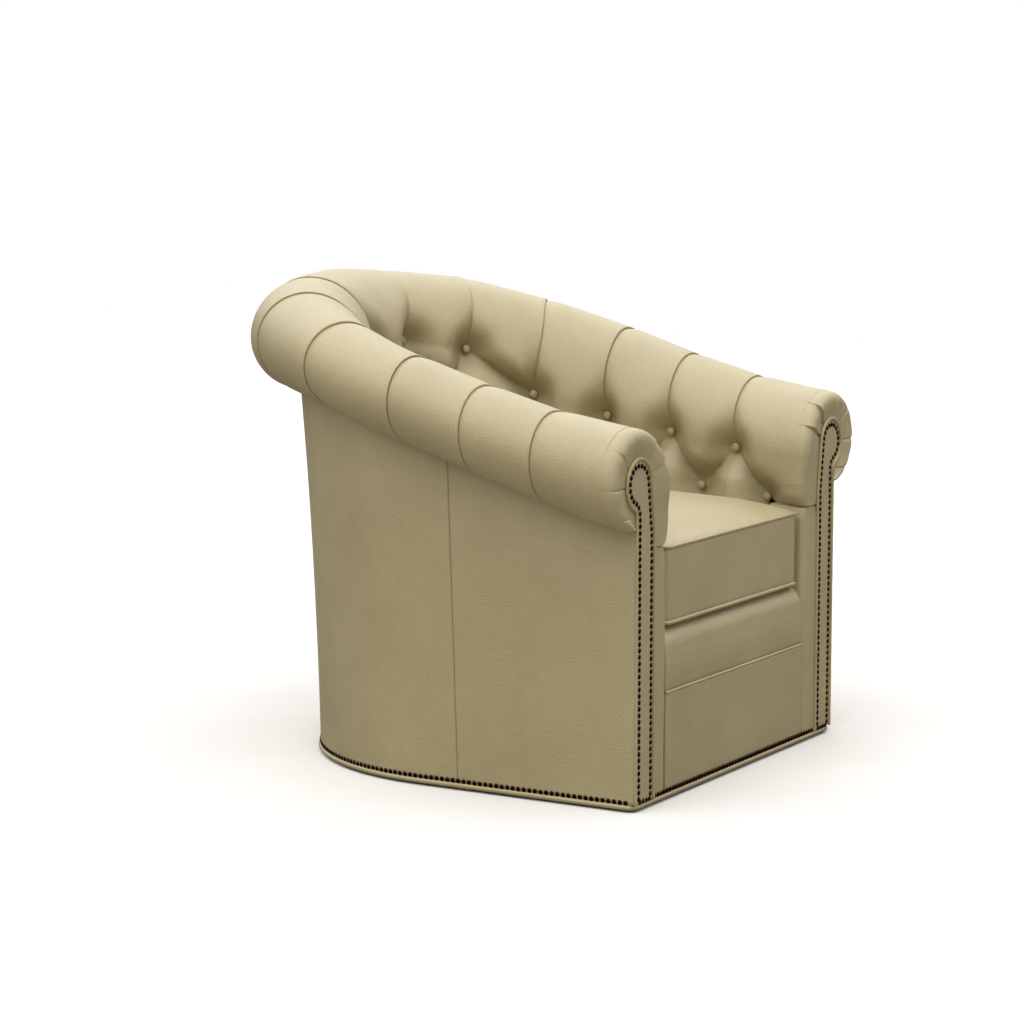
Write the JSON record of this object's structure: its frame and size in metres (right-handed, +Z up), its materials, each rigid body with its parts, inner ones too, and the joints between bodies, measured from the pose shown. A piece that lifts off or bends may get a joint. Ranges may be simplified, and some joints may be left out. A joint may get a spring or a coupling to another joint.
{
  "type": "tub swivel chair",
  "caption": "Low round tub chair with a rolled arm and back, deep buttoned inside, nailed arm fronts and a loose seat cushion, turning on a hidden swivel base.",
  "frame": {"origin": "on the floor, at the middle of the chair's outline, on the swivel axis", "axes": "+Z up and along the swivel axis, the chair faces -Y, +X to the right seen from the front"},
  "size_m": [0.9436, 0.9584, 0.87],
  "materials": {
    "black_steel": "black painted steel",
    "zinc_steel": "zinc plated steel",
    "spring_steel": "tempered spring wire",
    "glide_plastic": "black plastic glides",
    "cage_brass": "plain brass",
    "frame_wood": "sawn hardwood, unfinished",
    "plywood": "unfinished plywood",
    "black_cloth": "black woven cloth",
    "padding": "foam padding under satin khaki leather",
    "leather_panel": "satin khaki leather with a fine grain",
    "leather_welt": "satin khaki leather piping"
  },
  "bodies": {
    "base": {"base_frame": "black_steel", "floor_glides": "glide_plastic", "bearing_lower_plate": "zinc_steel", "spindle": "zinc_steel", "spindle_washer": "zinc_steel", "spindle_nut": "zinc_steel", "ball_cage": "cage_brass", "bearing_balls": "zinc_steel"},
    "tub": {"bearing_upper_plate": "zinc_steel", "plate_bolts": "zinc_steel", "mounting_board": "plywood", "cross_rails": "frame_wood", "dust_cover": "black_cloth", "front_rail": "frame_wood", "side_rail_left": "frame_wood", "side_rail_right": "frame_wood", "back_rail": "frame_wood", "front_post_left": "frame_wood", "front_post_right": "frame_wood", "arm_uprights": "frame_wood", "back_uprights": "frame_wood", "top_rail_left": "frame_wood", "top_rail_right": "frame_wood", "top_rail_back": "frame_wood", "seat_front_rail": "frame_wood", "seat_back_rail": "frame_wood", "seat_side_rails": "frame_wood", "seat_springs": "spring_steel", "spring_clips": "black_steel", "deck_pad": "padding", "front_lip": "padding", "front_border": "leather_panel", "front_welt": "leather_welt", "arm_front_left": "leather_panel", "arm_front_right": "leather_panel", "tufted_arm_left": "padding", "tufted_arm_right": "padding", "tufted_back": "padding", "tufting_buttons": "leather_panel", "facing_left": "leather_panel", "facing_right": "leather_panel", "facing_welt_left": "leather_welt", "facing_welt_right": "leather_welt", "outer_arm_left": "leather_panel", "outer_arm_right": "leather_panel", "outer_back": "leather_panel", "base_welt": "leather_welt"},
    "cushion": {"cushion_core": "padding", "cushion_boxing": "leather_panel", "cushion_top_panel": "padding", "cushion_bottom_panel": "leather_panel", "cushion_welt_top": "leather_welt", "cushion_welt_bottom": "leather_welt", "cushion_zip": "black_cloth", "zip_slider": "cage_brass"}
  },
  "joints": [
    {"name": "base_swivel", "type": "hinge", "parent": "base", "child": "tub", "pos_m": [0, 0, 0.071], "axis": [0, 0, 1], "continuous": true},
    {"name": "cushion_lift", "type": "slide", "parent": "tub", "child": "cushion", "axis": [0, 0, 1], "range_m": [0, 0.3]}
  ]
}
